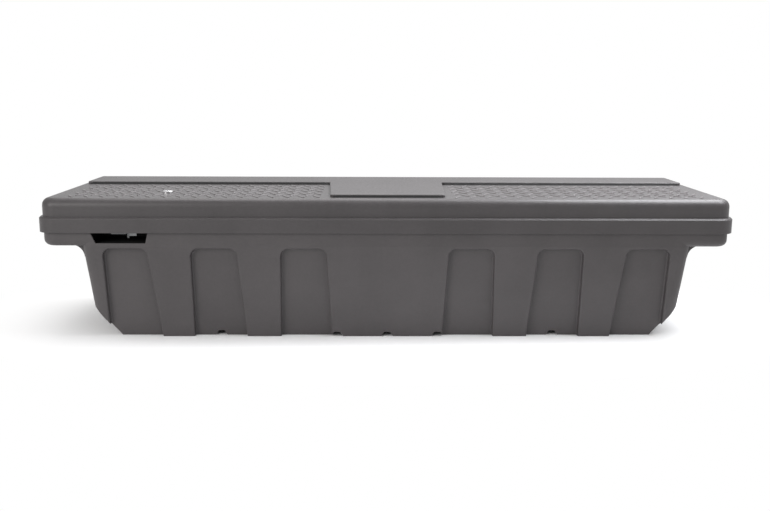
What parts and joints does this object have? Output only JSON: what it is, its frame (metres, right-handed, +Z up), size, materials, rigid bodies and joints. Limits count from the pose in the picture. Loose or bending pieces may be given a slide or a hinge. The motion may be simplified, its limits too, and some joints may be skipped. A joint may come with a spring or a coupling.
{
  "type": "truck tool box",
  "caption": "Crossover truck tool box: ribbed moulded tub that hangs between the bed rails, hinged double-wall lid with tread, gas struts, latch and key lock.",
  "frame": {"origin": "under the middle of the box, on the plane of the tub's underside", "axes": "+X along the box, +Y from the finger opening side to the hinge side, +Z up"},
  "size_m": [1.76, 0.508, 0.3675],
  "materials": {
    "tub_plastic": "dark grey moulded polyethylene with a fine pebbled grain",
    "lid_plastic": "dark grey moulded polyethylene, fine grain, raised tread bars",
    "liner_plastic": "dark grey pressed sheet, smooth",
    "seal_rubber": "black weather strip",
    "pocket_plastic": "black moulded plastic",
    "lock_chrome": "bright chrome plate",
    "strut_chrome": "polished piston rod",
    "strut_black": "black paint",
    "eye_plastic": "black glass-filled plastic",
    "hinge_steel": "black coated steel",
    "zinc_steel": "zinc-plated steel"
  },
  "bodies": {
    "tub": {"hinge_center_pin": "zinc_steel", "hinge_center_tub_leaf": "hinge_steel", "hinge_left_pin": "zinc_steel", "hinge_left_tub_leaf": "hinge_steel", "hinge_right_pin": "zinc_steel", "hinge_right_tub_leaf": "hinge_steel", "hinge_rivets_tub": "zinc_steel", "latch_pocket": "pocket_plastic", "pocket_rivets": "zinc_steel", "rail_plate_left": "zinc_steel", "rail_plate_right": "zinc_steel", "rim_seal": "seal_rubber", "striker_left": "zinc_steel", "striker_right": "zinc_steel", "striker_screws": "zinc_steel", "strut_lower_bracket_left": "zinc_steel", "strut_lower_bracket_right": "zinc_steel", "strut_screws": "zinc_steel", "tub_shell": "tub_plastic"},
    "lid": {"bolt_guide_left": "zinc_steel", "bolt_guide_right": "zinc_steel", "bracket_screws": "zinc_steel", "hinge_center_lid_leaf": "hinge_steel", "hinge_left_lid_leaf": "hinge_steel", "hinge_right_lid_leaf": "hinge_steel", "hinge_rivets_lid": "zinc_steel", "lid_liner": "liner_plastic", "lid_shell": "lid_plastic", "liner_rivets": "zinc_steel", "lock_housing": "lock_chrome", "lock_nut": "zinc_steel", "return_spring_left": "zinc_steel", "return_spring_right": "zinc_steel", "rod_bracket_center": "zinc_steel", "rod_bracket_far_left": "zinc_steel", "rod_bracket_left": "zinc_steel", "rod_bracket_right": "zinc_steel", "strut_upper_bracket_left": "zinc_steel", "strut_upper_bracket_right": "zinc_steel"},
    "latch": {"finger_lever": "zinc_steel", "latch_hook_left": "zinc_steel", "latch_hook_right": "zinc_steel", "rod_pins": "zinc_steel", "torque_rod": "zinc_steel"},
    "lock_plug": {"cam_nut": "zinc_steel", "lock_cam": "zinc_steel", "lock_plug": "lock_chrome"},
    "lock_bolt": {"lock_bolt": "zinc_steel"},
    "strut_tube_left": {"strut_cylinder_left": "strut_black", "strut_lower_eye_left": "eye_plastic"},
    "strut_rod_left": {"strut_rod_left": "strut_chrome", "strut_upper_eye_left": "eye_plastic"},
    "strut_tube_right": {"strut_cylinder_right": "strut_black", "strut_lower_eye_right": "eye_plastic"},
    "strut_rod_right": {"strut_rod_right": "strut_chrome", "strut_upper_eye_right": "eye_plastic"}
  },
  "joints": [
    {"name": "lid_hinge", "type": "hinge", "parent": "tub", "child": "lid", "pos_m": [0, 0.249, 0.276], "axis": [-1, 0, 0], "range_deg": [0, 65]},
    {"name": "latch_turn", "type": "hinge", "parent": "lid", "child": "latch", "pos_m": [0, -0.17, 0.292], "axis": [-1, 0, 0], "range_deg": [0, 20], "stiffness_Nm_per_rad": 2, "springref_deg": -17.19},
    {"name": "key_turn", "type": "hinge", "parent": "lid", "child": "lock_plug", "pos_m": [-0.575, -0.122, 0.33], "axis": [0, 0, -1], "range_deg": [0, 90]},
    {"name": "lock_slide", "type": "slide", "parent": "lid", "child": "lock_bolt", "axis": [-1, 0, 0], "range_m": [0, 0.0199]},
    {"name": "strut_left_pivot", "type": "hinge", "parent": "tub", "child": "strut_tube_left", "pos_m": [-0.725, 0.189, 0.156], "axis": [-1, 0, 0], "range_deg": [0, 31.54]},
    {"name": "strut_left_slide", "type": "slide", "parent": "strut_tube_left", "child": "strut_rod_left", "axis": [0, -0.442, 0.897], "range_m": [0, 0.09098]},
    {"name": "strut_right_pivot", "type": "hinge", "parent": "tub", "child": "strut_tube_right", "pos_m": [0.725, 0.189, 0.156], "axis": [-1, 0, 0], "range_deg": [0, 31.54]},
    {"name": "strut_right_slide", "type": "slide", "parent": "strut_tube_right", "child": "strut_rod_right", "axis": [0, -0.442, 0.897], "range_m": [0, 0.09098]}
  ],
  "couplings": [
    {"joint": "lock_slide", "follows": "key_turn", "m_per_rad": 0.012604},
    {"joint": "strut_left_pivot", "follows": "lid_hinge", "ratio": 0.48374},
    {"joint": "strut_left_slide", "follows": "lid_hinge", "m_per_rad": 0.080022},
    {"joint": "strut_right_pivot", "follows": "lid_hinge", "ratio": 0.48374},
    {"joint": "strut_right_slide", "follows": "lid_hinge", "m_per_rad": 0.080022}
  ]
}
